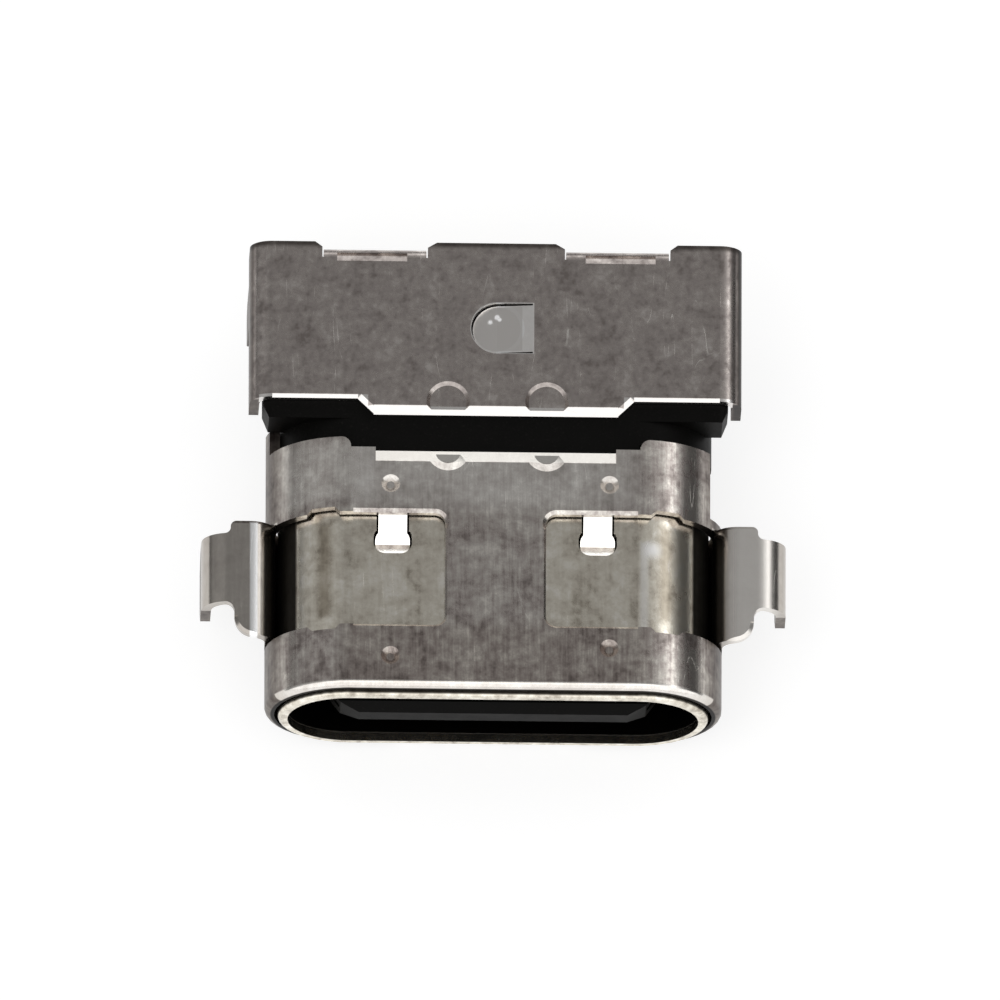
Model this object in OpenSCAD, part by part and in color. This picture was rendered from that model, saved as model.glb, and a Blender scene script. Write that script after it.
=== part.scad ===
// Receptacle for a reversible 24-contact plug, made to sink into a cut-out at the edge of a board.
// Origin: centre of the mouth, on the plane of the front rim. +X right, +Y to the rear, +Z up.

/* [Mouth] */
// Width of the oval mouth
mouth_w = 8.34; // [8.0:0.02:10]
// Height of the oval mouth
mouth_h = 2.56; // [2.4:0.02:3.1]
// Depth of the cavity, from the front rim to its floor
cavity_depth = 6.2; // [6.1:0.05:7.5]

/* [Inner shell] */
// Wall of the drawn inner tube
inner_wall = 0.2; // [0.15:0.01:0.25]
// Radius that rolls over the front rim
rim_round = 0.09; // [0.04:0.01:0.12]
// Distance from the middle of a spring finger to the middle of the socket
finger_x = 2.08; // [1.8:0.02:2.4]
// Width of a spring finger's stem
finger_w = 0.58; // [0.45:0.01:0.7]
// Width of its spoon-shaped tip
finger_tip_w = 0.7; // [0.55:0.01:0.8]
// Front end of the tip
finger_tip_y = 3.1; // [2.9:0.01:3.3]
// Lowest point of the finger, behind the tip
finger_dip_y = 3.32; // [3.15:0.01:3.6]
// How deep the finger dips into the mouth
finger_dip = 0.24; // [0.1:0.01:0.3]
// Width of the slit round a finger
slit_w = 0.04; // [0.03:0.005:0.1]

/* [Outer shell] */
// Thickness of the sheet of the outer shell and the rear cover
sheet = 0.2; // [0.15:0.01:0.25]
// Gap between the inner and the outer shell
shell_gap = 0.07; // [0.04:0.01:0.12]
// Set-back of the outer shell's front edge behind the rim
front_setback = 0.1; // [0:0.01:0.2]
// Radius that rolls over the outer shell's front edge
front_round = 0.16; // [0.05:0.01:0.18]
// Length from the rim to the top rear edge, in the middle
shell_top_len = 5.2; // [5.0:0.01:5.4]
// Length from the rim to the top rear edge, at the shoulders
shell_shoulder_len = 5.47; // [5.35:0.01:5.7]
// Length of the flat underside
shell_base_len = 6.7; // [6.0:0.1:7]
// Width of the middle part of the top rear edge
bridge_w = 4.88; // [4:0.05:5.6]
// Length of the ramp on that part, down to the rear
bridge_ramp = 0.25; // [0.1:0.01:0.3]
// Drop of that ramp
bridge_drop = 0.1; // [0.05:0.01:0.15]
// Width of the notches between the middle part and the shoulders
notch_w = 0.5; // [0.3:0.01:0.7]
// Front edge of the two side windows
window_front = 1.44; // [1.3:0.01:1.7]
// Rear edge of the two side windows
window_rear = 3.86; // [3.6:0.01:4.1]
// Width of the bar between the windows
window_bar_w = 2.04; // [1.6:0.02:2.6]
// Corner radius of the windows
window_r = 0.22; // [0.05:0.01:0.3]
// Chamfer on the sheared edges of the sheet
edge_chamfer = 0.07; // [0.02:0.01:0.08]
// Radius of the spot-weld dimples
weld_r = 0.19; // [0.1:0.01:0.25]
// Depth of the spot-weld dimples
weld_d = 0.11; // [0.04:0.01:0.14]
// Distance from a weld dimple to the middle
weld_x = 2.22; // [1.8:0.02:2.5]
// Radius of the half-round coined marks
coin_r = 0.44; // [0.3:0.01:0.5]
// Distance from a coined mark to the middle
coin_x = 1.0; // [0.8:0.01:1.4]
// Depth of the coined marks
coin_d = 0.07; // [0.03:0.01:0.1]

/* [Board ears] */
// Height of the board's top face above the middle of the mouth
board_z = 0.6; // [0.45:0.01:0.7]
// How far the legs stand out from the shell's sides
ear_reach = 1.29; // [1.0:0.01:1.6]
// Front edge of the ears
ear_front = 1.52; // [1.46:0.01:1.8]
// Rear edge of the ears
ear_rear = 3.96; // [3.6:0.01:4.0]
// Front edge of the legs
leg_front = 2.23; // [2.1:0.01:2.6]
// Rear edge of the legs
leg_rear = 3.7; // [3.3:0.01:3.8]
// Length of the legs below the board's top face
leg_len = 1.5; // [0.8:0.1:2.2]
// Inner radius of the bend into the legs
leg_bend_r = 0.4; // [0.2:0.01:0.45]
// Inner radius of the bend from the side wall into an ear
root_bend_r = 0.33; // [0.1:0.01:0.36]

/* [Rear cover] */
// How far the cover's side walls stand out from the shell's sides
cover_over = 0.35; // [0.26:0.01:1.0]
// Front edge of the cover, at its sides
cover_front = 6.31; // [6.1:0.01:6.5]
// How far the middle of that edge stands forward
cover_lip = 0.31; // [0.1:0.01:0.34]
// Chamfer on the front of the lip
lip_chamfer = 0.16; // [0.05:0.01:0.18]
// Rear edge of the cover
cover_rear = 9.66; // [9.3:0.01:10.4]
// Depth of the two recesses in the rear edge
recess = 0.11; // [0.05:0.01:0.2]
// Outer radius of the bends into the side walls
cover_bend_r = 0.45; // [0.3:0.01:0.6]
// Inner ends of the two rear flanges
flange_x0 = 1.39; // [1.2:0.01:1.6]
// Outer ends of the two rear flanges
flange_x1 = 3.53; // [3.2:0.01:3.7]
// Length of the D-shaped tab
tab_len = 1.22; // [0.9:0.01:1.4]
// Width of the D-shaped tab
tab_w = 1.0; // [0.7:0.01:1.1]
// Angle by which the tab leans into the housing
tab_lean = 8; // [3:1:10]

/* [Housing and tongue] */
// Gap between the housing and the cover's side walls
block_side_fit = 0.07; // [0.02:0.01:0.2]
// Front face of the shoulders
block_front = 5.94; // [5.85:0.01:5.97]
// Clearance of the metal shells round the housing
shell_fit = 0.02; // [0.01:0.005:0.04]
// Plastic beside the outermost contacts, on each side of the tongue
tongue_edge = 0.47; // [0.3:0.01:0.6]
// Thickness of the tongue where the plug grips it
tongue_t = 0.7; // [0.6:0.01:0.8]
// Set-back of the tongue's tip behind the rim
tongue_setback = 0.08; // [0.05:0.01:0.5]
// Width of the slanted corners of the tongue's tip
tongue_corner = 0.62; // [0.3:0.01:0.7]
// Chamfer along the upper and lower edge of the tip
tip_chamfer = 0.14; // [0.05:0.01:0.2]
// Gap between the sides of the tongue's base and the mouth
base_gap = 0.575; // [0.4:0.005:0.8]
// Thickness of the tongue's base
base_t = 1.3; // [1.1:0.05:1.5]
// Length of the tongue's base
base_len = 1.3; // [1.0:0.05:1.6]
// Thickness of the latch plate inside the tongue
plate_t = 0.14; // [0.1:0.01:0.2]
// Thickness of the grounding pads on the base
pad_t = 0.1; // [0.06:0.01:0.15]

/* [Contacts] */
// Distance between neighbouring contacts
pitch = 0.5; // [0.4:0.01:0.52]
// Width of a contact
contact_w = 0.25; // [0.2:0.01:0.28]
// Thickness of a contact
contact_t = 0.12; // [0.1:0.01:0.14]
// Set-back of the power and ground contacts behind the rim
power_setback = 0.55; // [0.4:0.01:0.7]
// Set-back of the signal contacts behind the rim
signal_setback = 0.8; // [0.6:0.01:1.0]
// Clearance of the contacts and the plate in the plastic
mould_fit = 0.01; // [0.005:0.005:0.02]
// Length of the rear row of tails behind the housing
tail_out = 0.3; // [0.2:0.05:1.0]

/* [Hidden] */
$fn = 64;
per_row = 12;
contact_nodes = ["contact_a1", "contact_a2", "contact_a3", "contact_a4", "contact_a5", "contact_a6",
    "contact_a7", "contact_a8", "contact_a9", "contact_a10", "contact_a11", "contact_a12",
    "contact_b1", "contact_b2", "contact_b3", "contact_b4", "contact_b5", "contact_b6",
    "contact_b7", "contact_b8", "contact_b9", "contact_b10", "contact_b11", "contact_b12"];

cut = 1;

// radii of the oval's round ends, and half the length of its straight sides
r_mouth = mouth_h / 2;
r_inner = r_mouth + inner_wall;
r_shell_in = r_inner + shell_gap;
r_shell = r_shell_in + sheet;
r_core = r_shell_in - shell_fit;
flat_x = mouth_w / 2 - r_mouth;
top_z = r_shell;

// the inner tube ends just short of the outer shell's rear edge, in the middle and at the sides
inner_len = shell_top_len - 0.08;
side_len = shell_shoulder_len - 0.06;
notch_x = bridge_w / 2 + notch_w;
core_front = side_len + shell_fit;
core_rear = cavity_depth + 1.1;
block_top = top_z - sheet - shell_fit;
block_rear = cover_rear - recess - sheet - shell_fit;

ear_top = board_z + sheet;
ear_wall_in = flat_x + r_shell_in;
leg_out = flat_x + r_shell + ear_reach;
cover_w = 2 * (flat_x + r_shell + cover_over);
block_w = cover_w - 2 * sheet - 2 * block_side_fit;
tongue_w = (per_row - 1) * pitch + contact_w + 2 * tongue_edge;
base_w = mouth_w - 2 * base_gap;
finger_root_y = window_rear + 0.1;
ear_round = 0.4;
step_x = leg_out - 0.66;
weld_shift = 0.09;
coin_shift = 0.03;
recess_y = cover_rear - recess;
tab_hinge_x = 0.745;
tab_y = cover_front + 1.525;
tab_gap = 0.035;

steel = [0.62, 0.61, 0.58];
plated = [0.56, 0.55, 0.52];
black = [0.07, 0.07, 0.07];
gold = [0.85, 0.68, 0.35];

// ---- shared shapes ----

// an upright prism of a plan outline, from z0 to z1
module upright(z0, z1) {
    translate([0, 0, z0]) linear_extrude(z1 - z0) children();
}

// a front-view outline (x, z) drawn out along Y, from y0 to y1
module along_y(y0, y1) {
    translate([0, y1, 0]) rotate([90, 0, 0]) linear_extrude(y1 - y0) children();
}

// a side-view outline (y, z) drawn out along X, centred on x
module along_x(x, w) {
    translate([x - w / 2, 0, 0]) rotate([90, 0, 90]) linear_extrude(w) children();
}

module mirrored() {
    children();
    mirror([1, 0, 0]) children();
}

// oval: two round ends of radius r joined by straight sides
module oval(r) {
    square([2 * flat_x, 2 * r], center = true);
    for (x = [-flat_x, flat_x]) translate([x, 0]) circle(r);
}

module oval_ring(r_out, r_in) {
    difference() {
        oval(r_out);
        oval(r_in);
    }
}

// a wall section (radius, y) swept round the oval
module oval_sweep() {
    for (side = [0, 1]) mirror([side, 0, 0]) {
        translate([flat_x, 0, 0]) rotate([-90, 0, 0]) rotate_extrude(angle = 180, start = -90) children();
    }
    for (side = [0, 1]) mirror([0, 0, side]) {
        rotate([0, -90, 0]) linear_extrude(2 * flat_x, center = true) children();
    }
}

// section (radius, y) of a lip of length round, rolled over on its outer edge
module rolled_lip(r_in, r_out, y0, round) {
    intersection() {
        translate([r_in, y0]) square([r_out - r_in, round]);
        union() {
            translate([r_out - round, y0 + round]) circle(round);
            translate([r_in, y0]) square([r_out - r_in - round, round]);
        }
    }
}

// a rectangle between two corners, with every corner rounded
module rounded_rect(x0, y0, x1, y1, r) {
    translate([x0 + r, y0]) square([x1 - x0 - 2 * r, y1 - y0]);
    translate([x0, y0 + r]) square([x1 - x0, y1 - y0 - 2 * r]);
    for (x = [x0 + r, x1 - r], y = [y0 + r, y1 - r]) translate([x, y]) circle(r);
}

// half-round coined marks, pressed into the top face round centres at y; wall is their sloping rim
module coined_marks(y, wall) {
    for (x = [-coin_x, coin_x]) {
        translate([x + coin_shift, y, top_z - coin_d])
            cylinder(h = 2 * coin_d, r1 = coin_r - wall, r2 = coin_r + wall);
    }
}

// a chamfer on a top edge along X, from the middle x; the metal lies behind the edge, or with way -1
// in front of it
module edge_x(x, length, y, way, c, drop) {
    over = 0.02;
    along_x(x, length) polygon([[y, top_z - drop], [y + way * c, top_z], [y + way * c, top_z + over],
        [y - way * over, top_z + over], [y - way * over, top_z - drop]]);
}

// ---- inner shell ----

// plan of a finger, or of its opening with a slit all round: a rounded tip, then a straight stem
module finger_plan(grow, root_y) {
    neck_y = finger_tip_y + 0.5;
    half_tip = finger_tip_w / 2 + grow;
    rounded_rect(finger_x - half_tip, finger_tip_y - grow, finger_x + half_tip, neck_y + grow, 0.2 + grow);
    translate([finger_x - finger_w / 2 - grow, neck_y - 0.25])
        square([finger_w + 2 * grow, root_y - neck_y + 0.25]);
}

// a finger bends down into the mouth from its root under the outer shell, and its tip curls up again
module finger() {
    z = r_mouth + inner_wall / 2;
    root = 0.3;
    intersection() {
        along_x(finger_x, 2) lead([[finger_root_y + root, z], [finger_root_y, z], [finger_dip_y, z - finger_dip],
            [finger_tip_y - 0.05, z - 0.6 * finger_dip]], inner_wall);
        upright(0, r_inner + cut) finger_plan(0, finger_root_y + root);
    }
}

module inner_shell() {
    color(plated) union() {
        difference() {
            union() {
                along_y(rim_round, side_len) oval_ring(r_inner, r_mouth);
                oval_sweep() rolled_lip(r_mouth, r_inner, 0, rim_round);
            }
            // the middle of the rear edge ends just short of the outer shell's
            upright(0, r_inner + cut) translate([-notch_x, inner_len]) square([2 * notch_x, cut]);
            mirrored() upright(0, r_inner + cut) finger_plan(slit_w, finger_root_y);
        }
        mirrored() finger();
    }
}

// ---- outer shell ----

// one ear: out of the side wall at board height, along the board, and down into a leg
module ear_section() {
    bend_x = ear_wall_in + sheet + root_bend_r;
    bend_z = board_z - root_bend_r;
    leg_x = leg_out - sheet - leg_bend_r;
    leg_z = board_z - leg_bend_r;
    translate([ear_wall_in, 0]) square([sheet, bend_z]);
    intersection() {
        translate([bend_x, bend_z]) difference() {
            circle(root_bend_r + sheet);
            circle(root_bend_r);
        }
        translate([bend_x - cut, bend_z]) square([cut, cut]);
    }
    translate([bend_x, board_z]) square([leg_x - bend_x, sheet]);
    intersection() {
        translate([leg_x, leg_z]) difference() {
            circle(leg_bend_r + sheet);
            circle(leg_bend_r);
        }
        translate([leg_x, leg_z]) square([cut, cut]);
    }
    translate([leg_out - sheet, board_z - leg_len]) square([sheet, leg_z - board_z + leg_len]);
}

// an S-shaped shoulder of a blank, from an edge at y0 back to a step at y1: what to cut away beyond x.
// r_out rounds the shoulder and r_in the inner corner, and way is 1 towards the rear, -1 to the front
module s_shoulder(x, y0, y1, r_out, r_in, way) {
    depth = abs(y1 - y0);
    translate([x, y0]) mirror([0, way > 0 ? 0 : 1]) difference() {
        translate([-r_out, -cut]) square([2, depth + cut]);
        translate([-r_out, r_out]) circle(r_out);
        translate([-r_out - cut, r_out]) square([r_out + cut, 2]);
        difference() {
            translate([0, depth - r_in]) square([r_in, r_in]);
            translate([r_in, depth - r_in]) circle(r_in);
        }
    }
}

// what the blank of the ear leaves beside its leg: a big front shoulder and a small rear one
module ear_trim() {
    upright(board_z - leg_len - cut, ear_top + cut) {
        s_shoulder(step_x, ear_front, leg_front, ear_round, ear_round / 2, 1);
        s_shoulder(step_x + 0.08, ear_rear, leg_rear, 0.12, 0.12, -1);
    }
    // the tip of the leg narrows to enter its hole
    along_x(leg_out, 2) {
        polygon([[leg_front - cut, board_z - leg_len - cut], [leg_front + 0.3, board_z - leg_len - cut],
            [leg_front + 0.3, board_z - leg_len], [leg_front, board_z - leg_len + 0.45],
            [leg_front - cut, board_z - leg_len + 0.45]]);
        polygon([[leg_rear + cut, board_z - leg_len - cut], [leg_rear - 0.3, board_z - leg_len - cut],
            [leg_rear - 0.3, board_z - leg_len], [leg_rear, board_z - leg_len + 0.45],
            [leg_rear + cut, board_z - leg_len + 0.45]]);
    }
    // chamfer along the front edge and round its shoulder
    translate([0, 0, ear_top - top_z]) edge_x((ear_wall_in + step_x - ear_round) / 2, step_x - ear_round - ear_wall_in,
        ear_front, 1, edge_chamfer, edge_chamfer);
    translate([step_x - ear_round, ear_front + ear_round, ear_top - edge_chamfer]) intersection() {
        difference() {
            cylinder(h = 2 * edge_chamfer, r = ear_round + edge_chamfer);
            translate([0, 0, -0.001]) cylinder(h = 2 * edge_chamfer + 0.002, r1 = ear_round,
                r2 = ear_round - 2 * edge_chamfer);
        }
        translate([0, -cut, 0]) cube([cut, cut, cut]);
    }
}

module ear() {
    difference() {
        along_y(ear_front, ear_rear) ear_section();
        ear_trim();
    }
}

// plan of a side window, with the small reliefs in its edges near the shoulder
module window_plan() {
    x0 = window_bar_w / 2;
    relief_x = flat_x + 0.27;
    relief_w = 0.66;
    relief_d = 0.1;
    rounded_rect(x0, window_front, leg_out, window_rear, window_r);
    for (edge = [[window_front, -1], [window_rear, 1]]) {
        translate([relief_x, edge[0]]) polygon([[0, -edge[1] * relief_d], [0, 0], [relief_d, edge[1] * relief_d],
            [relief_w - relief_d, edge[1] * relief_d], [relief_w, 0], [relief_w, -edge[1] * relief_d]]);
    }
}

// chamfers on the window's edges, where the sheet is flat
module window_chamfers() {
    x0 = window_bar_w / 2;
    small = edge_chamfer * 0.6;
    x1 = x0 + window_r;
    edge_x((x1 + flat_x) / 2, flat_x - x1, window_rear, 1, edge_chamfer, edge_chamfer);
    edge_x((x1 + flat_x) / 2, flat_x - x1, window_front, -1, small, small);
    translate([x1, window_rear - window_r, top_z - edge_chamfer])
        cylinder(h = 2 * edge_chamfer, r1 = window_r, r2 = window_r + 2 * edge_chamfer);
    translate([x1, window_front + window_r, top_z - small])
        cylinder(h = 2 * small, r1 = window_r, r2 = window_r + 2 * small);
    along_y(window_front + window_r, window_rear - window_r) polygon([[x0, top_z - small], [x0 - small, top_z],
        [x0 - small, top_z + small], [x0 + small, top_z + small], [x0 + small, top_z - small]]);
}

// seam under the shell, with a dovetail that keeps it shut
module seam() {
    w = 0.04;
    y0 = 2.2;
    y1 = 3.8;
    waist = 0.35;
    head = 0.6;
    reach = 0.8;
    upright(-top_z - cut, -r_shell_in + shell_gap / 2) {
        translate([-w / 2, -cut]) square([w, y0 + cut + waist / 2 + w]);
        translate([-w / 2, y1 - waist / 2 - w]) square([w, shell_base_len]);
        difference() {
            polygon([[-w / 2, y0 + waist / 2], [reach, y0], [reach, y1], [-w / 2, y1 - waist / 2]]);
            polygon([[-w, y0 + waist / 2 + w], [reach - w, y0 + w], [reach - w, y1 - w],
                [-w, y1 - waist / 2 - w]]);
        }
    }
}

// everything behind the shell's rear edge, above and below the board
module rear_trim() {
    corner = 0.2;
    side_y = ear_rear + 0.12;
    left_z = 0.2;
    right_z = 0.93;
    wall_z = r_mouth * 0.75;
    upright(board_z - shell_gap, top_z + cut) {
        translate([-leg_out, shell_shoulder_len]) square([2 * leg_out, 4]);
        translate([-bridge_w / 2, shell_top_len]) square([bridge_w, 1]);
        mirrored() translate([bridge_w / 2 - 0.01, shell_top_len + 0.05]) square([notch_w + 0.01, 1]);
        mirrored() translate([notch_x - 0.01, shell_shoulder_len - corner]) difference() {
            square([corner + 0.01, 1]);
            translate([corner + 0.01, 0]) circle(corner);
        }
    }
    // openings in the side walls behind the ears; the left wall ends in a lug beside the housing
    translate([flat_x, side_y, -wall_z]) cube([4, 4, wall_z + right_z]);
    translate([-flat_x - 4, side_y, -wall_z]) cube([4, 4, wall_z + left_z]);
    translate([-flat_x - 4, shell_shoulder_len + 0.5, -wall_z]) cube([4, 4, wall_z + board_z]);
    mirrored() translate([flat_x, side_len, -r_mouth]) cube([4, 4, r_mouth]);
    // the middle of the edge ramps down to the rear, and the shoulders are chamfered
    edge_x(0, bridge_w, shell_top_len, -1, bridge_ramp, bridge_drop);
}

module outer_shell() {
    lip_y = front_setback + front_round;
    color(steel) difference() {
        union() {
            difference() {
                union() {
                    along_y(lip_y, shell_base_len) oval_ring(r_shell, r_shell_in);
                    oval_sweep() rolled_lip(r_shell_in, r_shell, front_setback, front_round);
                }
                mirrored() upright(0, top_z + cut) window_plan();
                mirrored() window_chamfers();
                rear_trim();
                seam();
            }
            mirrored() ear();
        }
        // spot-weld dimples over the front ring, a little askew, and over the rear ring
        for (weld = [[-1, 0.77], [1, 0.97], [-1, 4.47], [1, 4.49]]) {
            translate([weld[0] * weld_x + weld_shift, weld[1], top_z - weld_d])
                cylinder(h = 2 * weld_d, r1 = weld_r - weld_d, r2 = weld_r + weld_d);
        }
        coined_marks(shell_top_len, 0.18);
    }
}

// ---- rear cover ----

// front view of the folded cover: a flat top and two walls down to the board
module cover_section(half_w, z_top, r) {
    translate([-half_w, board_z]) square([2 * half_w, z_top - r - board_z]);
    translate([-half_w + r, board_z]) square([2 * (half_w - r), z_top - board_z]);
    for (x = [-half_w + r, half_w - r]) translate([x, z_top - r]) circle(r);
}

// side view of a rear flange, bent down behind the housing
module flange_section() {
    r = sheet + 0.02;
    bottom = board_z + 0.35;
    intersection() {
        translate([recess_y - r, top_z - r]) difference() {
            circle(r);
            circle(r - sheet);
        }
        translate([recess_y - r, top_z - r]) square([r, r]);
    }
    translate([recess_y - sheet, bottom]) square([sheet, top_z - r - bottom]);
    translate([recess_y - r - 0.1, top_z - sheet]) square([0.1, sheet]);
}

// plan of the D-shaped tab: hinge on the right, round end on the left
module tab_plan(grow) {
    r = tab_w / 2;
    translate([tab_hinge_x - tab_len + r, tab_y]) circle(r + grow);
    translate([tab_hinge_x - tab_len + r, tab_y - r - grow]) square([tab_len - r, tab_w + 2 * grow]);
}

module tab() {
    intersection() {
        translate([tab_hinge_x, tab_y, top_z]) rotate([0, -tab_lean, 0])
            translate([-2 * tab_len, -tab_w, -sheet]) cube([2 * tab_len, 2 * tab_w, sheet]);
        upright(board_z, top_z + cut) tab_plan(0);
    }
}

module cover_legs() {
    // solder legs that go on down from the side walls
    mirrored() translate([cover_w / 2 - sheet, 8.18, board_z - leg_len]) difference() {
        cube([sheet, 0.9, leg_len + 0.1]);
        for (side = [0, 1]) translate([-cut, 0.45, 0]) mirror([0, side, 0])
            rotate([90, 0, 90]) linear_extrude(3) polygon([[0.25, -0.1], [0.55, -0.1], [0.55, 0.4], [0.45, 0.4]]);
    }
}

module rear_cover() {
    half_w = cover_w / 2;
    lip_y = cover_front - cover_lip;
    lip_x = bridge_w / 2 + 0.04;
    slope = 0.32;
    slope_angle = atan2(cover_lip, slope);
    slope_len = norm([cover_lip, slope]);
    side_c = edge_chamfer;
    bend_start = recess_y - sheet - 0.02;
    groove_y = recess_y - 0.3;
    groove_len = 0.18;
    groove_drop = 0.075;
    groove_x = (flange_x0 + flange_x1) / 2 + 0.06;
    color(steel) difference() {
        union() {
            difference() {
                along_y(lip_y, cover_rear) difference() {
                    cover_section(half_w, top_z, cover_bend_r);
                    translate([0, -0.01]) cover_section(half_w - sheet, top_z - sheet + 0.01, cover_bend_r - sheet);
                }
                // the front edge slopes back from the lip to the sides
                mirrored() upright(0, top_z + cut) polygon([[lip_x, lip_y - cut], [lip_x, lip_y],
                    [lip_x + slope, cover_front], [half_w + cut, cover_front], [half_w + cut, lip_y - cut]]);
                // recesses in the rear edge, and room for the bends of the two flanges
                mirrored() upright(0, top_z + cut) {
                    polygon([[flange_x0 - 0.2, cover_rear + 0.01], [flange_x0, recess_y], [flange_x1, recess_y],
                        [flange_x1 + 0.16, cover_rear + 0.01]]);
                    translate([flange_x0, bend_start]) square([flange_x1 - flange_x0, cut]);
                }
                // open outline of the tab
                upright(board_z, top_z + cut) difference() {
                    tab_plan(tab_gap);
                    translate([tab_hinge_x, 0]) square([1, 20]);
                }
                // chamfers of the lip, of its slopes and of the sides
                edge_x(0, 2 * lip_x, lip_y, 1, lip_chamfer, lip_chamfer);
                mirrored() {
                    translate([lip_x, lip_y, 0]) rotate([0, 0, slope_angle])
                        edge_x(slope_len / 2, slope_len, 0, 1, side_c * 1.4, side_c * 1.4);
                    edge_x((lip_x + slope + half_w - cover_bend_r) / 2, half_w - cover_bend_r - lip_x - slope,
                        cover_front, 1, side_c, side_c);
                }
            }
            mirrored() along_x((flange_x0 + flange_x1) / 2, flange_x1 - flange_x0 - 0.06) {
                flange_section();
            }
            tab();
            cover_legs();
        }
        // coined grooves at the bends of the flanges, ramped down to the rear
        mirrored() along_x(groove_x, 1.42) polygon([[groove_y, top_z], [groove_y + groove_len, top_z - groove_drop],
            [groove_y + groove_len, top_z + cut], [groove_y, top_z + cut]]);
        coined_marks(lip_y + 0.24, 0.07);
    }
}

// ---- housing ----

// a lead of thickness th along a side-view path: the path, set off to both sides
function unit(v) = v / norm(v);
function left_of(v) = [-v[1], v[0]];
function leg_dir(p, i) = unit(p[i + 1] - p[i]);
function miter(p, i) =
    i == 0 ? left_of(leg_dir(p, 0))
    : i == len(p) - 1 ? left_of(leg_dir(p, i - 1))
    : let (a = left_of(leg_dir(p, i - 1)), b = left_of(leg_dir(p, i))) (a + b) / (1 + a * b);
function beside(p, d) = [for (i = [0 : len(p) - 1]) p[i] + d * miter(p, i)];
function turned(p) = [for (i = [len(p) - 1 : -1 : 0]) p[i]];

module lead(path, th) {
    polygon(concat(beside(path, th / 2), turned(beside(path, -th / 2))));
}

// upper contacts rise over the lower row and come down behind the housing
upper_z = (tongue_t - contact_t) / 2;
tail_z = board_z + contact_t / 2;
bend_y = cavity_depth + 0.4;
function upper_path(y0) = [[y0, upper_z], [bend_y, upper_z], [bend_y + 0.35, 1.05],
    [block_rear - 0.6, 1.05], [block_rear - 0.3, tail_z], [block_rear + tail_out, tail_z]];

// lower contacts rise behind the cavity floor to a row of tails under the housing
function lower_path(y0) = [[y0, -upper_z], [bend_y + 0.3, -upper_z], [bend_y + 0.5, tail_z],
    [bend_y + 1.25, tail_z]];

function contact_x(i) = (i - (per_row - 1) / 2) * pitch;
function is_power(i) = i == 0 || i == 3 || i == 8 || i == 11;
function contact_y(i) = is_power(i) ? power_setback : signal_setback;

// channels that the moulding leaves round the contacts
module contact_channels() {
    for (i = [0 : per_row - 1]) {
        along_x(contact_x(i), contact_w + 2 * mould_fit) {
            lead(upper_path(contact_y(i) - mould_fit), contact_t + 2 * mould_fit);
            lead(lower_path(contact_y(i) - mould_fit), contact_t + 2 * mould_fit);
        }
    }
    // the tails lie open along the underside, and the lower row ends clear of the plastic
    for (i = [0 : per_row - 1]) {
        translate([contact_x(i) - contact_w / 2 - mould_fit, bend_y + 0.9, board_z - 0.05])
            cube([contact_w + 2 * mould_fit, 0.5, contact_t + 0.05 + mould_fit]);
    }
}

// the block that stands on the board, rounded along its top sides and chamfered in front
module shoulders() {
    r = 0.2;
    half_w = block_w / 2;
    intersection() {
        along_y(block_front, block_rear) {
            translate([-half_w, board_z]) square([block_w, block_top - r - board_z]);
            translate([-half_w + r, board_z]) square([block_w - 2 * r, block_top - board_z]);
            for (x = [-half_w + r, half_w - r]) translate([x, block_top - r]) circle(r);
        }
        upright(0, top_z) polygon([[-half_w, block_front + 0.3], [-half_w + 0.12, block_front],
            [half_w - 0.12, block_front], [half_w, block_front + 0.3],
            [half_w, block_rear + cut], [-half_w, block_rear + cut]]);
    }
}

module housing() {
    tenon_w = base_w;
    color(black) difference() {
        union() {
            along_y(core_front, core_rear) oval(r_core);
            // key that fills the notch in the inner shell's rear edge
            intersection() {
                along_y(inner_len + shell_fit, core_front + 0.1) oval(r_core);
                upright(0, r_core + cut) translate([-notch_x + shell_fit, 0]) square([2 * (notch_x - shell_fit), 20]);
            }
            shoulders();
        }
        // cavity for the plug
        along_y(inner_len - cut, cavity_depth) oval(r_mouth);
        // pocket that holds the root of the tongue
        translate([-tenon_w / 2 - mould_fit, 0, -base_t / 2 - mould_fit])
            cube([tenon_w + 2 * mould_fit, cavity_depth + 0.3 + mould_fit, base_t + 2 * mould_fit]);
        // slot for the tail of the latch plate
        translate([-tongue_w / 2 + 0.6, 0, -plate_t / 2 - mould_fit])
            cube([tongue_w - 1.2, cavity_depth + 0.6 + mould_fit, plate_t + 2 * mould_fit]);
        contact_channels();
        // room for the cover's tab
        upright(block_top - 0.3, block_top + cut) tab_plan(0.08);
        // room behind for the cover's flanges
        mirrored() translate([flange_x0 - 0.05, recess_y - sheet - 0.1, board_z + 0.3])
            cube([flange_x1 - flange_x0 + 0.1, cut, cut]);
        // moulded relief under the shoulders, where the shell's side walls stop
        mirrored() translate([block_w / 2 - 0.3, block_front + 0.9, board_z - cut])
            cube([cut, 1.6, cut + 0.12]);
    }
}

// ---- tongue and what it carries ----

// plan of the tongue's tip, set back by y, with slanted corners
module tip_plan(y, y_end) {
    half_w = tongue_w / 2;
    far = tongue_corner * 0.4;
    polygon([[-half_w + tongue_corner, y], [half_w - tongue_corner, y], [half_w - far, y + 0.17], [half_w, y + 0.5],
        [half_w, y_end], [-half_w, y_end], [-half_w, y + 0.5], [-half_w + far, y + 0.17]]);
}

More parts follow.
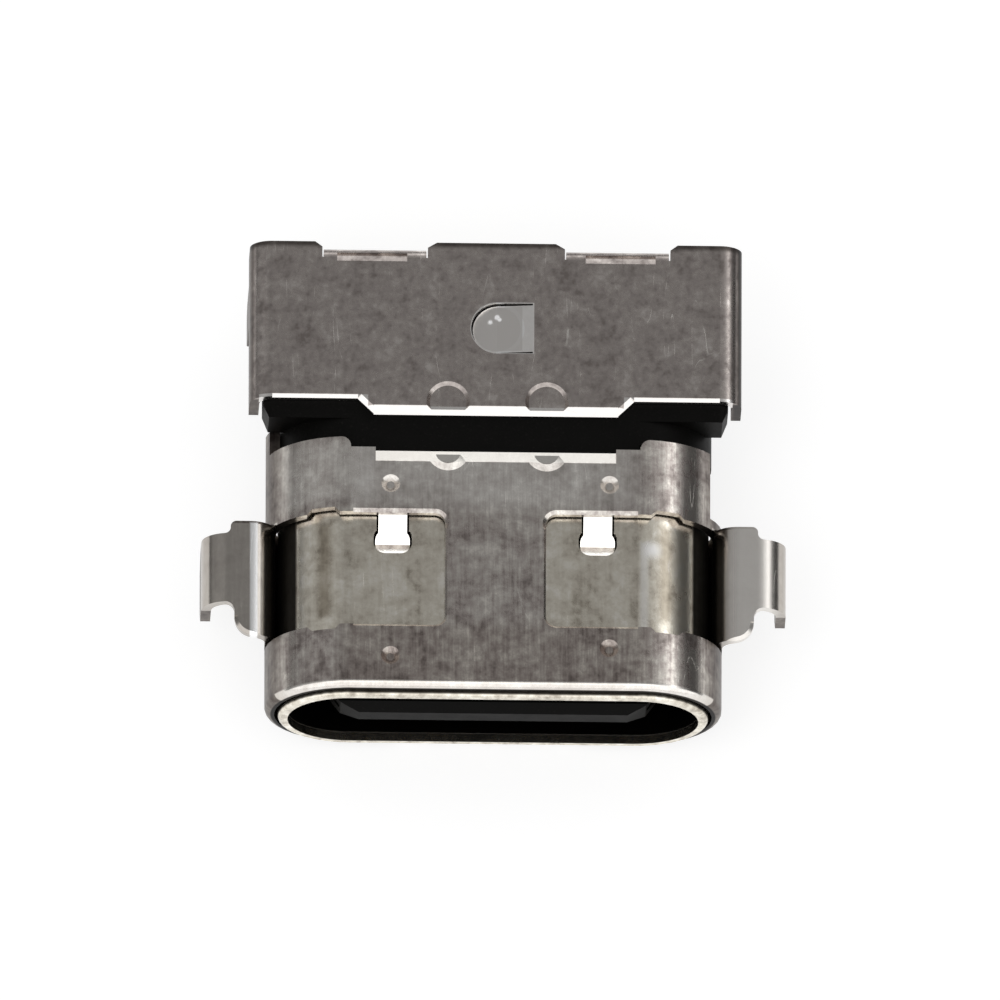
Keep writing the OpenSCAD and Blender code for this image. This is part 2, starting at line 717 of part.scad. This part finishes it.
module tongue() {
    half_w = tongue_w / 2;
    base_y = cavity_depth - base_len;
    latch_y = 1.6;
    tip_len = 0.2;
    color(black) difference() {
        union() {
            upright(-tongue_t / 2, tongue_t / 2) tip_plan(tongue_setback, base_y + 0.1);
            // the base steps up on a short ramp
            along_x(0, base_w) polygon([[base_y, -tongue_t / 2], [base_y, tongue_t / 2],
                [base_y + 0.2, base_t / 2 - pad_t - mould_fit], [cavity_depth - 0.15, base_t / 2 - pad_t - mould_fit],
                [cavity_depth - 0.15, base_t / 2], [cavity_depth + 0.3, base_t / 2],
                [cavity_depth + 0.3, -base_t / 2], [cavity_depth - 0.15, -base_t / 2],
                [cavity_depth - 0.15, -base_t / 2 + pad_t + mould_fit],
                [base_y + 0.2, -base_t / 2 + pad_t + mould_fit]]);
        }
        // chamfers along the tip
        for (side = [0, 1]) mirror([0, 0, side]) along_x(0, tongue_w + cut) polygon([
            [tongue_setback - 0.01, tongue_t / 2 - tip_chamfer], [tongue_setback, tongue_t / 2 - tip_chamfer],
            [tongue_setback + tip_len, tongue_t / 2], [tongue_setback + tip_len, tongue_t],
            [tongue_setback - 0.01, tongue_t]]);
        // latch notches that lay the plate's edges bare
        mirrored() upright(-tongue_t, tongue_t)
            rounded_rect(half_w - 0.32, latch_y, half_w + cut, latch_y + 1.3, 0.12);
        // slot of the latch plate
        translate([-half_w - cut, tongue_setback + 0.2, -plate_t / 2 - mould_fit])
            cube([tongue_w + 2 * cut, cavity_depth + cut, plate_t + 2 * mould_fit]);
        contact_channels();
    }
}

module latch_plate() {
    half_w = tongue_w / 2;
    latch_y = 1.6;
    tail_x = half_w - 0.65;
    color(steel) upright(-plate_t / 2, plate_t / 2) difference() {
        union() {
            tip_plan(tongue_setback + 0.22, cavity_depth - 0.02);
            translate([-tail_x, cavity_depth - 0.1]) square([2 * tail_x, 0.68]);
        }
        mirrored() rounded_rect(half_w - 0.2, latch_y + 0.1, half_w + cut, latch_y + 1.2, 0.12);
    }
}

// a bent grounding pad on one face of the tongue's base
module ground_pad() {
    base_y = cavity_depth - base_len;
    half_w = base_w / 2;
    upright(base_t / 2 - pad_t, base_t / 2) difference() {
        rounded_rect(-half_w, base_y + 0.2, half_w, cavity_depth - 0.16, 0.1);
        for (x = [-2, 0, 2]) rounded_rect(x - 0.3, base_y + 0.45, x + 0.3, base_y + 0.65, 0.08);
    }
}

module ground_pad_upper() {
    color(steel) ground_pad();
}

module ground_pad_lower() {
    color(steel) mirror([0, 0, 1]) ground_pad();
}

module contact_upper(i) {
    color(gold) along_x(contact_x(i), contact_w) lead(upper_path(contact_y(i)), contact_t);
}

module contact_lower(i) {
    color(gold) along_x(contact_x(i), contact_w) lead(lower_path(contact_y(i)), contact_t);
}

inner_shell();
outer_shell();
rear_cover();
housing();
tongue();
latch_plate();
ground_pad_upper();
ground_pad_lower();
for (i = [0 : per_row - 1]) {
    contact_upper(i);
    contact_lower(per_row - 1 - i);
}
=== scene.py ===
# A board-edge receptacle for a reversible 24-contact plug: two stamped steel shells and a rear cover
# round a black moulded housing, seen from above and in front on a pale floor under soft studio light.
import math

import bpy
import numpy as np
from mathutils import Matrix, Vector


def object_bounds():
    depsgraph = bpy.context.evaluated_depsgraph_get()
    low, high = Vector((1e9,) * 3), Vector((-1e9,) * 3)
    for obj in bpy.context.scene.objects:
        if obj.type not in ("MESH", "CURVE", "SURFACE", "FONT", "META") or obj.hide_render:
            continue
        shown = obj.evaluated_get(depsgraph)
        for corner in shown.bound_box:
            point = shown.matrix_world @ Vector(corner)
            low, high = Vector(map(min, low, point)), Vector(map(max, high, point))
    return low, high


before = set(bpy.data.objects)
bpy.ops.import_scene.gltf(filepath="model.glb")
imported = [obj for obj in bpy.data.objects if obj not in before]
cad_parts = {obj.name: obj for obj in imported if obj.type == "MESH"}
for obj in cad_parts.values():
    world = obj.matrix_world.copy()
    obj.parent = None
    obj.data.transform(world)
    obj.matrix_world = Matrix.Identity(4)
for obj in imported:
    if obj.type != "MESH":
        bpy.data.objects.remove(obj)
cad_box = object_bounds()

# ---- Outer shell ----
# A strip of nickel-plated stainless steel, 0.2 mm thick, stamped and folded round the inner shell. Its
# two ears carry it on the board. The semi-bright plating shows the rolling grain of the strip along the
# socket and cloudy stains where it was handled and soldered. Its edges carry painted highlights, nearly
# white, its ears and rear ring a painted sheen, and its lower sides and the gap at the front painted shade.
MM = 0.001


def linear(code):
    """A #rrggbb colour in linear light, by the sRGB curve."""
    parts = [int(code[i:i + 2], 16) / 255 for i in (1, 3, 5)]
    return tuple(p / 12.92 if p <= 0.04045 else ((p + 0.055) / 1.055) ** 2.4 for p in parts) + (1.0,)


def add(tree, kind, links=(), **settings):
    """Adds one node. links gives its inputs, each a value or the output that feeds it."""
    node = tree.nodes.new(kind)
    for name, value in settings.items():
        setattr(node, name, value)
    for key, value in dict(links).items():
        if isinstance(value, bpy.types.NodeSocket):
            tree.links.new(value, node.inputs[key])
        else:
            node.inputs[key].default_value = value
    return node


def millimetres(name):
    """A new material, its emptied node tree, and Object coordinates scaled to millimetres."""
    material = bpy.data.materials.new(name)
    material.use_nodes = True
    tree = material.node_tree
    tree.nodes.clear()
    place = add(tree, "ShaderNodeTexCoord")
    scaled = add(tree, "ShaderNodeVectorMath", {0: place.outputs["Object"], "Scale": 1 / MM}, operation="SCALE")
    return material, tree, scaled.outputs["Vector"]


def inside_box(tree, place, centre, half, soft):
    """1 within a box given in mm, falling to 0 over soft mm outside it. The distance outside is the
    largest of |place - centre| - half over the three axes."""
    offset = add(tree, "ShaderNodeVectorMath", {0: place, 1: centre}, operation="SUBTRACT")
    offset = add(tree, "ShaderNodeVectorMath", {0: offset.outputs[0]}, operation="ABSOLUTE")
    offset = add(tree, "ShaderNodeVectorMath", {0: offset.outputs[0], 1: half}, operation="SUBTRACT")
    x, y, z = add(tree, "ShaderNodeSeparateXYZ", {0: offset.outputs[0]}).outputs
    largest = add(tree, "ShaderNodeMath", {0: x, 1: y}, operation="MAXIMUM")
    largest = add(tree, "ShaderNodeMath", {0: largest.outputs[0], 1: z}, operation="MAXIMUM")
    return add(tree, "ShaderNodeMapRange", {"Value": largest.outputs[0], "From Min": soft, "From Max": 0.0},
               interpolation_type="SMOOTHSTEP").outputs["Result"]


# the mouth is an oval with round ends, and end_x is the distance of their middles from its own
mouth_width_mm, mouth_height_mm = 8.34, 2.56
end_x = (mouth_width_mm - mouth_height_mm) / 2


def coordinates(tree, place, kind, centre):
    """The coordinates that a zone is drawn in, and its centre in them. plain: as they are. mirrored: X is
    made positive. disc: X is the distance in plan from the centre. tube: X is the distance from the
    oval's middle line, which is r all over a tube whose ends have radius r."""
    if kind == "plain":
        return place, centre
    x, y, z = add(tree, "ShaderNodeSeparateXYZ", {0: place}).outputs
    if kind == "disc":
        across = add(tree, "ShaderNodeCombineXYZ", {0: x, 1: y, 2: 0.0}).outputs[0]
        offset = add(tree, "ShaderNodeVectorMath", {0: across, 1: (*centre[:2], 0)}, operation="SUBTRACT")
        radius = add(tree, "ShaderNodeVectorMath", {0: offset.outputs[0]}, operation="LENGTH").outputs["Value"]
        return add(tree, "ShaderNodeCombineXYZ", {0: radius, 1: 0.0, 2: z}).outputs[0], (0, 0, centre[2])
    x = add(tree, "ShaderNodeMath", {0: x}, operation="ABSOLUTE").outputs[0]
    if kind == "mirrored":
        return add(tree, "ShaderNodeCombineXYZ", {0: x, 1: y, 2: z}).outputs[0], centre
    x = add(tree, "ShaderNodeMath", {0: x, 1: end_x}, operation="SUBTRACT").outputs[0]
    x = add(tree, "ShaderNodeMath", {0: x, 1: 0.0}, operation="MAXIMUM").outputs[0]
    across = add(tree, "ShaderNodeCombineXYZ", {0: x, 1: 0.0, 2: z}).outputs[0]
    radius = add(tree, "ShaderNodeVectorMath", {0: across}, operation="LENGTH").outputs["Value"]
    return add(tree, "ShaderNodeCombineXYZ", {0: radius, 1: y, 2: 0.0}).outputs[0], centre


def strip_steel(name, shades, rough, grain_across, grain_along, stain_mm, mottle_mm, bump_mm, zones=()):
    """Plated strip: stains of stain_mm, smaller mottling of mottle_mm and a rolling grain, grain_across
    lines per mm and grain_along per mm along Y, together pick one of four shades from dark to worn. Thin
    scratches cross it. Each zone has a kind of coordinates, then a centre, half sizes and a soft edge in
    mm. Its shade dulls (MULTIPLY), brightens (SCREEN) or covers (MIX) what is there. Its last two numbers
    are its roughness and its share."""
    material, tree, place = millimetres(name)
    stains = add(tree, "ShaderNodeTexNoise", {"Vector": place, "Scale": 1 / stain_mm, "Detail": 4.0,
                                               "Roughness": 0.6, "Distortion": 0.5})
    mottle = add(tree, "ShaderNodeTexNoise", {"Vector": place, "Scale": 1 / mottle_mm, "Detail": 3.0,
                                               "Roughness": 0.65})
    stretched = add(tree, "ShaderNodeMapping", {"Vector": place, "Scale": (grain_across, grain_along, grain_across)})
    grain = add(tree, "ShaderNodeTexNoise", {"Vector": stretched.outputs["Vector"], "Scale": 1.0, "Detail": 3.0,
                                              "Roughness": 0.6})
    share = 0.0
    for pattern, weight in ((stains, 0.42), (mottle, 0.33), (grain, 0.25)):
        share = add(tree, "ShaderNodeMath", {0: pattern.outputs["Fac"], 1: weight, 2: share},
                    operation="MULTIPLY_ADD").outputs[0]
    ramp = add(tree, "ShaderNodeValToRGB", {0: share})
    points = ramp.color_ramp.elements
    for position, shade in zip((0.38, 0.47, 0.54, 0.64), shades):
        point = points.new(position)
        point.color = linear(shade)
    points.remove(points[0])
    points.remove(points[-1])
    # a scratch is where a long noise, turned off the grain, is within 0.0016 of its middle value
    crossing = add(tree, "ShaderNodeMapping", {"Vector": place, "Rotation": (0, 0, 0.6), "Scale": (2.2, 0.25, 2.2)})
    lines = add(tree, "ShaderNodeTexNoise", {"Vector": crossing.outputs["Vector"], "Scale": 1.0, "Detail": 1.0})
    lines = add(tree, "ShaderNodeMath", {0: lines.outputs["Fac"], 1: 0.5, 2: 0.0016}, operation="COMPARE")
    some = add(tree, "ShaderNodeMapRange", {"Value": stains.outputs["Fac"], "From Min": 0.5, "From Max": 0.62})
    scratch = add(tree, "ShaderNodeMath", {0: lines.outputs[0], 1: some.outputs["Result"]}, operation="MULTIPLY")
    scratch = add(tree, "ShaderNodeMath", {0: scratch.outputs[0], 1: 0.6}, operation="MULTIPLY")
    colour = add(tree, "ShaderNodeMix", {"Factor": scratch.outputs[0], 6: ramp.outputs["Color"],
                                         7: linear("#f4f1ea")}, data_type="RGBA").outputs[2]
    finish = add(tree, "ShaderNodeMapRange", {"Value": share, "From Min": 0.4, "From Max": 0.62,
                                              "To Min": rough + 0.06, "To Max": rough - 0.05}).outputs["Result"]
    for kind, centre, half, soft, way, shade, zone_rough, strength in zones:
        mask = inside_box(tree, *coordinates(tree, place, kind, centre), half, soft)
        mask = add(tree, "ShaderNodeMath", {0: mask, 1: strength}, operation="MULTIPLY").outputs[0]
        colour = add(tree, "ShaderNodeMix", {"Factor": mask, 6: colour, 7: linear(shade)}, data_type="RGBA",
                     blend_type=way).outputs[2]
        finish = add(tree, "ShaderNodeMix", {0: mask, 2: finish, 3: zone_rough}, data_type="FLOAT").outputs[0]
    height = add(tree, "ShaderNodeMath", {0: grain.outputs["Fac"], 1: 0.35, 2: mottle.outputs["Fac"]},
                 operation="MULTIPLY_ADD")
    height = add(tree, "ShaderNodeMath", {0: scratch.outputs[0], 1: -0.5, 2: height.outputs[0]},
                 operation="MULTIPLY_ADD")
    bump = add(tree, "ShaderNodeBump", {"Height": height.outputs[0], "Strength": 0.6, "Distance": bump_mm * MM})
    metal = add(tree, "ShaderNodeBsdfPrincipled", {"Base Color": colour, "Metallic": 1.0, "Roughness": finish,
                                                   "Normal": bump.outputs["Normal"]})
    add(tree, "ShaderNodeOutputMaterial", {"Surface": metal.outputs["BSDF"]})
    return material


def finish_node(name, material):
    """Gives a CAD node its material."""
    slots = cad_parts[name].data.materials
    slots.clear()
    slots.append(material)


shell_zones = (
    # the front ring is a little darker, and the rear ring carries a painted sheen, most on the left
    ("mirrored", (0, 0.7, 1.7), (2.9, 0.5, 0.5), 0.5, "MULTIPLY", "#eae7e5", 0.27, 0.9),
    ("mirrored", (0, 4.75, 1.7), (2.6, 0.5, 0.9), 0.5, "SCREEN", "#a5a29b", 0.25, 0.9),
    ("plain", (-3.4, 4.75, 1.4), (0.8, 0.5, 0.9), 0.3, "SCREEN", "#a5a29b", 0.28, 0.7),
    # the lower sides are darkened with painted shade
    ("mirrored", (4.3, 4, -1.3), (2, 5, 2.0), 0.7, "MULTIPLY", "#8d8986", 0.36, 1.0),
    # the ears carry a painted sheen, most on the right one's flat, and a painted white highlight along the left
    # one's root
    ("mirrored", (5.2, 2.71, 0.7), (0.78, 1.19, 0.5), 0.02, "SCREEN", "#aaa59e", 0.18, 0.9),
    ("plain", (5.25, 2.7, 0.7), (0.3, 1.5, 0.3), 0.3, "SCREEN", "#d8d3cc", 0.3, 0.9),
    ("plain", (-4.88, 2.7, 0.7), (0.05, 1.2, 0.3), 0.05, "MIX", "#ffffff", 0.2, 1.0),
    # the rounded front edge and the ramp at the rear carry painted highlights, nearly white
    ("mirrored", (0, 0.1, 1.7), (5, 0.12, 0.9), 0.04, "SCREEN", "#c9c4bc", 0.2, 1.0),
    ("mirrored", (0, 5.15, 1.7), (2.43, 0.18, 0.3), 0.01, "MIX", "#dedbd5", 0.26, 0.8),
    # painted shade darkens the front of the wall that faces the tube, in the gap between the shells
    ("tube", (1.56, 0.1, 0), (0.05, 0.1, 1), 0.03, "MULTIPLY", "#3a3836", 0.5, 1.0),
)
shell_steel = strip_steel("nickel_plated_steel_strip", ("#807773", "#b1a8a3", "#cbc5be", "#f6f0e7"), rough=0.24,
                          grain_across=14, grain_along=0.8, stain_mm=0.9, mottle_mm=0.2, bump_mm=0.003,
                          zones=shell_zones)
finish_node("outer_shell", shell_steel)

# ---- Rear cover ----
# A second stamping of the same strip, folded down over the back of the housing. It was tumbled after
# stamping, so it is a little darker and more matt than the shell, with an even mottling instead of a
# grain. The tab and the front lip carry painted highlights, and the side bends and rear edge painted shade.
cover_zones = (
    # both side bends are darkened with painted shade, the right one more
    ("mirrored", (5.0, 7.8, 0.2), (0.16, 3, 1.3), 0.14, "MULTIPLY", "#8f8b88", 0.42, 1.0),
    ("plain", (5.0, 7.8, 0.2), (0.12, 3, 1.3), 0.14, "MULTIPLY", "#85817e", 0.42, 1.0),
    # the chamfer along the front lip, in the middle and at both steps, carries a painted highlight, nearly white
    ("mirrored", (0, 5.9, 1.7), (2.6, 0.25, 0.3), 0.01, "MIX", "#f1eeeb", 0.2, 0.9),
    ("mirrored", (3.7, 5.9, 1.7), (1.1, 0.47, 0.3), 0.01, "MIX", "#f1eeeb", 0.2, 0.9),
    # the rear edge and its flanges are darkened with painted shade
    ("plain", (0, 9.72, 1.7), (5, 0.1, 2), 0.12, "MULTIPLY", "#6f6b68", 0.4, 0.9),
    # the D tab, half a disc and a square: a painted highlight round its outline, a lighter painted sheen on its bent
    # face and three painted glints
    ("disc", (0.025, 7.84, 1.7), (0.545, 1, 0.4), 0.01, "SCREEN", "#e2dfdb", 0.3, 1.0),
    ("plain", (0.385, 7.84, 1.7), (0.38, 0.545, 0.4), 0.01, "SCREEN", "#e2dfdb", 0.3, 1.0),
    ("disc", (0.025, 7.84, 1.7), (0.46, 1, 0.4), 0.02, "MIX", "#dad6d2", 0.32, 0.8),
    ("plain", (0.27, 7.84, 1.7), (0.25, 0.46, 0.4), 0.02, "MIX", "#dad6d2", 0.32, 0.8),
    ("disc", (0.02, 8.1, 1.7), (0.03, 1, 0.4), 0.05, "MIX", "#ffffff", 0.6, 1.0),
    ("disc", (-0.12, 8.0, 1.7), (0.02, 1, 0.4), 0.05, "MIX", "#ffffff", 0.6, 1.0),
    ("disc", (0.07, 8.05, 1.7), (0.02, 1, 0.4), 0.04, "MIX", "#ffffff", 0.6, 1.0),
)
cover_steel = strip_steel("tumbled_steel_strip", ("#857d79", "#a49c98", "#b3aba6", "#d0c9c4"), rough=0.27,
                          grain_across=7, grain_along=5, stain_mm=0.6, mottle_mm=0.16, bump_mm=0.003,
                          zones=cover_zones)
finish_node("rear_cover", cover_steel)

# ---- Inner shell ----
# A seamless tube, deep-drawn from stainless steel, which guides the plug. It is warmer and brighter than
# the strip, and drawing leaves fine bright lines along it. Its fingers carry painted white highlights, and
# its inside and the ends of the oval beside the ears are painted near black as shade.
tube_zones = (
    # painted shade in a streak where each bend starts, and a painted highlight spot and streak on the right
    ("mirrored", (3.46, 2.7, 1.3), (0.03, 0.9, 0.5), 0.2, "MULTIPLY", "#b9b3ab", 0.3, 0.8),
    ("disc", (3.17, 3.2, 1.4), (0.02, 1, 0.5), 0.26, "SCREEN", "#ffffff", 0.4, 0.8),
    ("plain", (3.02, 2.4, 1.4), (0.02, 0.9, 0.5), 0.12, "SCREEN", "#ffffff", 0.25, 0.4),
    # painted shade: the inside near black, and the outer edge of the rim where the gap begins darkened
    ("tube", (0, 3.3, 0), (1.36, 3.1, 1), 0.04, "MIX", "#0b0a09", 0.5, 1.0),
    ("tube", (1.5, 0.0, 0), (0.02, 0.1, 1), 0.02, "MULTIPLY", "#55524f", 0.5, 1.0),
    # the fingers: painted white highlights on their roots and necks, then on their tips
    ("mirrored", (2.08, 3.75, 1.3), (0.29, 0.3, 0.3), 0.01, "MIX", "#fffcf6", 0.12, 1.0),
    ("mirrored", (2.08, 3.3, 1.1), (0.35, 0.32, 0.28), 0.02, "MIX", "#fffcf6", 0.12, 1.0),
    # painted shade, near black, on the ends of the oval beside the ears
    ("mirrored", (4.4, 2.7, 0), (0.35, 1.3, 1.2), 0.06, "MIX", "#14110e", 0.5, 0.97),
)
tube_steel = strip_steel("deep_drawn_stainless_steel", ("#aaa295", "#d6cfc1", "#e8e2d4", "#fffaf0"), rough=0.22,
                         grain_across=5, grain_along=0.3, stain_mm=0.7, mottle_mm=0.2, bump_mm=0.003,
                         zones=tube_zones)
finish_node("inner_shell", tube_steel)

# ---- Housing and tongue ----
# Black liquid-crystal polymer with glass fibre, injection-moulded, and held between the shells and the
# cover. It is satin, with the faint pale specks of fibres near the surface and a slight flow pattern.
flow_mm = 0.4
specks_per_mm = 22
fibre_relief_mm = 0.004
plastic, tree, place = millimetres("glass_filled_liquid_crystal_polymer")
flow = add(tree, "ShaderNodeTexNoise", {"Vector": place, "Scale": 1 / flow_mm, "Detail": 4.0, "Roughness": 0.6})
fibres = add(tree, "ShaderNodeTexNoise", {"Vector": place, "Scale": specks_per_mm, "Detail": 2.0, "Roughness": 0.7})
speck = add(tree, "ShaderNodeMapRange", {"Value": fibres.outputs["Fac"], "From Min": 0.6, "From Max": 0.75})
body = add(tree, "ShaderNodeMix", {"Factor": flow.outputs["Fac"], 6: linear("#040403"), 7: linear("#080706")},
           data_type="RGBA")
tint = add(tree, "ShaderNodeMix", {"Factor": speck.outputs["Result"], 6: body.outputs[2], 7: linear("#161413")},
           data_type="RGBA")
roughness = add(tree, "ShaderNodeMapRange", {"Value": flow.outputs["Fac"], "To Min": 0.42, "To Max": 0.6})
bump = add(tree, "ShaderNodeBump", {"Height": fibres.outputs["Fac"], "Strength": 0.4,
                                    "Distance": fibre_relief_mm * MM})
satin = add(tree, "ShaderNodeBsdfPrincipled", {"Base Color": tint.outputs[2], "IOR": 1.5, "Specular IOR Level": 0.08,
                                               "Roughness": roughness.outputs["Result"],
                                               "Normal": bump.outputs["Normal"]})
add(tree, "ShaderNodeOutputMaterial", {"Surface": satin.outputs["BSDF"]})
for name in ("housing", "tongue"):
    finish_node(name, plastic)

# ---- Latch plate and grounding pads ----
# Blanked from stainless sheet, an even grey with a fine grain. The plate is moulded into the tongue,
# and its edges show in the notches where the plug's springs grip. The pads lie on both faces of the
# tongue's base.
blanked_steel = strip_steel("blanked_stainless_steel", ("#908b85", "#aaa59e", "#b9b4ac", "#d5d0c8"), rough=0.3,
                            grain_across=12, grain_along=1.0, stain_mm=0.7, mottle_mm=0.2, bump_mm=0.002)
for name in ("latch_plate", "ground_pad_upper", "ground_pad_lower"):
    finish_node(name, blanked_steel)

# ---- Contacts ----
# Twenty-four leads in two rows, stamped from copper alloy strip, bent, and moulded into the tongue.
# Hard gold over nickel makes them a warm satin yellow, paler where it is worn.
wear_per_mm = 3
gold, tree, place = millimetres("hard_gold_plating")
wear = add(tree, "ShaderNodeTexNoise", {"Vector": place, "Scale": wear_per_mm, "Detail": 4.0})
colour = add(tree, "ShaderNodeMix", {"Factor": wear.outputs["Fac"], 6: linear("#e0b368"), 7: linear("#f0cd8a")},
             data_type="RGBA")
roughness = add(tree, "ShaderNodeMapRange", {"Value": wear.outputs["Fac"], "To Min": 0.34, "To Max": 0.2})
plated = add(tree, "ShaderNodeBsdfPrincipled", {"Base Color": colour.outputs[2], "Metallic": 1.0,
                                                "Roughness": roughness.outputs["Result"]})
add(tree, "ShaderNodeOutputMaterial", {"Surface": plated.outputs["BSDF"]})
for row in "ab":
    for number in range(1, 13):
        finish_node(f"contact_{row}{number}", gold)

# ---- Floor ----
# A sheet of matt white paper that the socket lies on, a hair below its base, so that the two faces
# don't fight for one plane. It looks white, and keeps the socket's soft shadow.
low, high = cad_box
paper_z = low.z - 0.01 * MM
half_paper = 30 * MM
middle_y = (low.y + high.y) / 2
corners = [(x * half_paper, middle_y + y * half_paper, paper_z) for x, y in ((-1, -1), (1, -1), (1, 1), (-1, 1))]
mesh = bpy.data.meshes.new("floor")
mesh.from_pydata(corners, [], [(0, 1, 2, 3)])
floor = bpy.data.objects.new("floor", mesh)
bpy.context.scene.collection.objects.link(floor)
paper, tree, place = millimetres("matt_white_paper")
rays = add(tree, "ShaderNodeLightPath")
seen = rays.outputs["Is Camera Ray"]
for ray in ("Is Glossy Ray", "Is Transmission Ray"):
    seen = add(tree, "ShaderNodeMath", {0: seen, 1: rays.outputs[ray]}, operation="MAXIMUM").outputs[0]
lift = add(tree, "ShaderNodeEmission", {"Color": linear("#ffffff"), "Strength": 0.77})
lift_seen = add(tree, "ShaderNodeMixShader", {0: seen, 2: lift.outputs[0]})
matt = add(tree, "ShaderNodeBsdfDiffuse", {"Color": linear("#a2a2a2")})
both = add(tree, "ShaderNodeAddShader", {0: lift_seen.outputs[0], 1: matt.outputs[0]})
add(tree, "ShaderNodeOutputMaterial", {"Surface": both.outputs[0]})
mesh.materials.append(paper)

# ---- Light ----
# A small studio: white all round for matt surfaces, and for polished ones a grey ceiling, a bright
# front, a soft box behind, one at the right, and the darker edge of the table at both sides.
world = bpy.data.worlds.new("studio")
bpy.context.scene.world = world
world.use_nodes = True
tree = world.node_tree
tree.nodes.clear()
sky = add(tree, "ShaderNodeTexCoord")
axes = add(tree, "ShaderNodeSeparateXYZ", {0: sky.outputs["Generated"]})
brightest = 3.0


def by_height(stops):
    """A grey level for each sine of the elevation, on straight lines between the given stops."""
    position = add(tree, "ShaderNodeMath", {0: axes.outputs["Z"], 1: 0.5, 2: 0.5}, operation="MULTIPLY_ADD")
    ramp = add(tree, "ShaderNodeValToRGB", {0: position.outputs[0]})
    points = ramp.color_ramp.elements
    while len(points) < len(stops):
        points.new(0.5)
    for point, (sine, level) in zip(points, stops):
        point.position = (sine + 1) / 2
        point.color = (level / brightest, level / brightest, level / brightest, 1)
    return ramp.outputs["Color"]


right = by_height([(-1, 0.5), (-0.3, 0.3), (-0.12, 0.04), (0.1, 0.04), (0.28, 0.07), (0.42, 0.2), (0.54, 0.55),
                   (0.6, 2.1), (0.67, 2.1), (0.73, 0.8), (0.81, 0.58), (0.9, 0.42), (0.95, 0.28), (1, 0.27)])
left = by_height([(-1, 0.5), (-0.25, 0.4), (-0.1, 0.14), (0.04, 0.14), (0.16, 0.33), (0.7, 0.4), (0.85, 0.36),
                  (0.94, 0.27), (1, 0.27)])
front = by_height([(-1, 1.0), (-0.05, 0.8), (0.05, 1.3), (0.7, 1.3), (0.85, 1.6), (0.985, 1.6), (1, 0.6)])
back = by_height([(-1, 1.0), (-0.1, 0.3), (0.1, 0.15), (0.28, 0.8), (0.38, 1.4), (0.55, 1.4), (0.7, 0.5),
                  (0.9, 0.27), (1, 0.27)])
studio = left
for axis, start, end, level in (("X", -0.25, 0.25, right), ("Y", -0.12, -0.3, front), ("Y", 0.55, 0.8, back)):
    share = add(tree, "ShaderNodeMapRange", {"Value": axes.outputs[axis], "From Min": start, "From Max": end},
                interpolation_type="SMOOTHSTEP").outputs["Result"]
    studio = add(tree, "ShaderNodeMix", {"Factor": share, 6: studio, 7: level}, data_type="RGBA").outputs[2]
for_metal = add(tree, "ShaderNodeBackground", {"Color": studio, "Strength": brightest}).outputs[0]
for_matt = add(tree, "ShaderNodeBackground", {"Color": linear("#ffffff"), "Strength": 0.7}).outputs[0]
for_camera = add(tree, "ShaderNodeBackground", {"Color": linear("#ffffff"), "Strength": 1.0}).outputs[0]
rays = add(tree, "ShaderNodeLightPath")
mixed = add(tree, "ShaderNodeMixShader", {0: rays.outputs["Is Glossy Ray"], 1: for_matt, 2: for_metal}).outputs[0]
mixed = add(tree, "ShaderNodeMixShader", {0: rays.outputs["Is Camera Ray"], 1: mixed, 2: for_camera}).outputs[0]
add(tree, "ShaderNodeOutputWorld", {"Surface": mixed})

# a wide lamp overhead, left and in front, gives the shadow and isn't seen in the polished surfaces
key = bpy.data.lights.new("key", "AREA")
key.shape = "DISK"
key.size = 60 * MM
key.energy = 0.012
lamp = bpy.data.objects.new("key", key)
lamp.location = (-40 * MM, -25 * MM, 90 * MM)
lamp.rotation_euler = (math.radians(17), math.radians(-23), 0)
lamp.visible_glossy = False
bpy.context.scene.collection.objects.link(lamp)

# ---- Camera ----
# It looks down on the socket from the front, 70 degrees above the table, from far enough away that
# nothing converges, with a slight roll.
azimuth, elevation, roll = (math.radians(angle) for angle in (-4.49, 70.27, 4.92))
distance_mm = 120
aim_y_mm, aim_right_mm, aim_up_mm = 4.58, 0.134, 0.168
level_right = np.array([math.cos(azimuth), math.sin(azimuth), 0])
backward = np.array([math.sin(azimuth) * math.cos(elevation), -math.cos(azimuth) * math.cos(elevation),
                     math.sin(elevation)])
level_up = np.cross(backward, level_right)
rightward = level_right * math.cos(roll) + level_up * math.sin(roll)
upward = level_up * math.cos(roll) - level_right * math.sin(roll)
aim = np.array([0, aim_y_mm, 0]) + rightward * aim_right_mm + upward * aim_up_mm
view = bpy.data.cameras.new("camera")
view.type = "ORTHO"
view.ortho_scale = 20.28 * MM
view.clip_start = 1 * MM
view.clip_end = 2.0
camera = bpy.data.objects.new("camera", view)
pose = np.eye(4)
pose[:3] = np.column_stack((rightward, upward, backward, (aim + backward * distance_mm) * MM))
camera.matrix_world = Matrix(pose.tolist())
bpy.context.scene.collection.objects.link(camera)
bpy.context.scene.camera = camera
bpy.context.scene.view_settings.view_transform = "Standard"
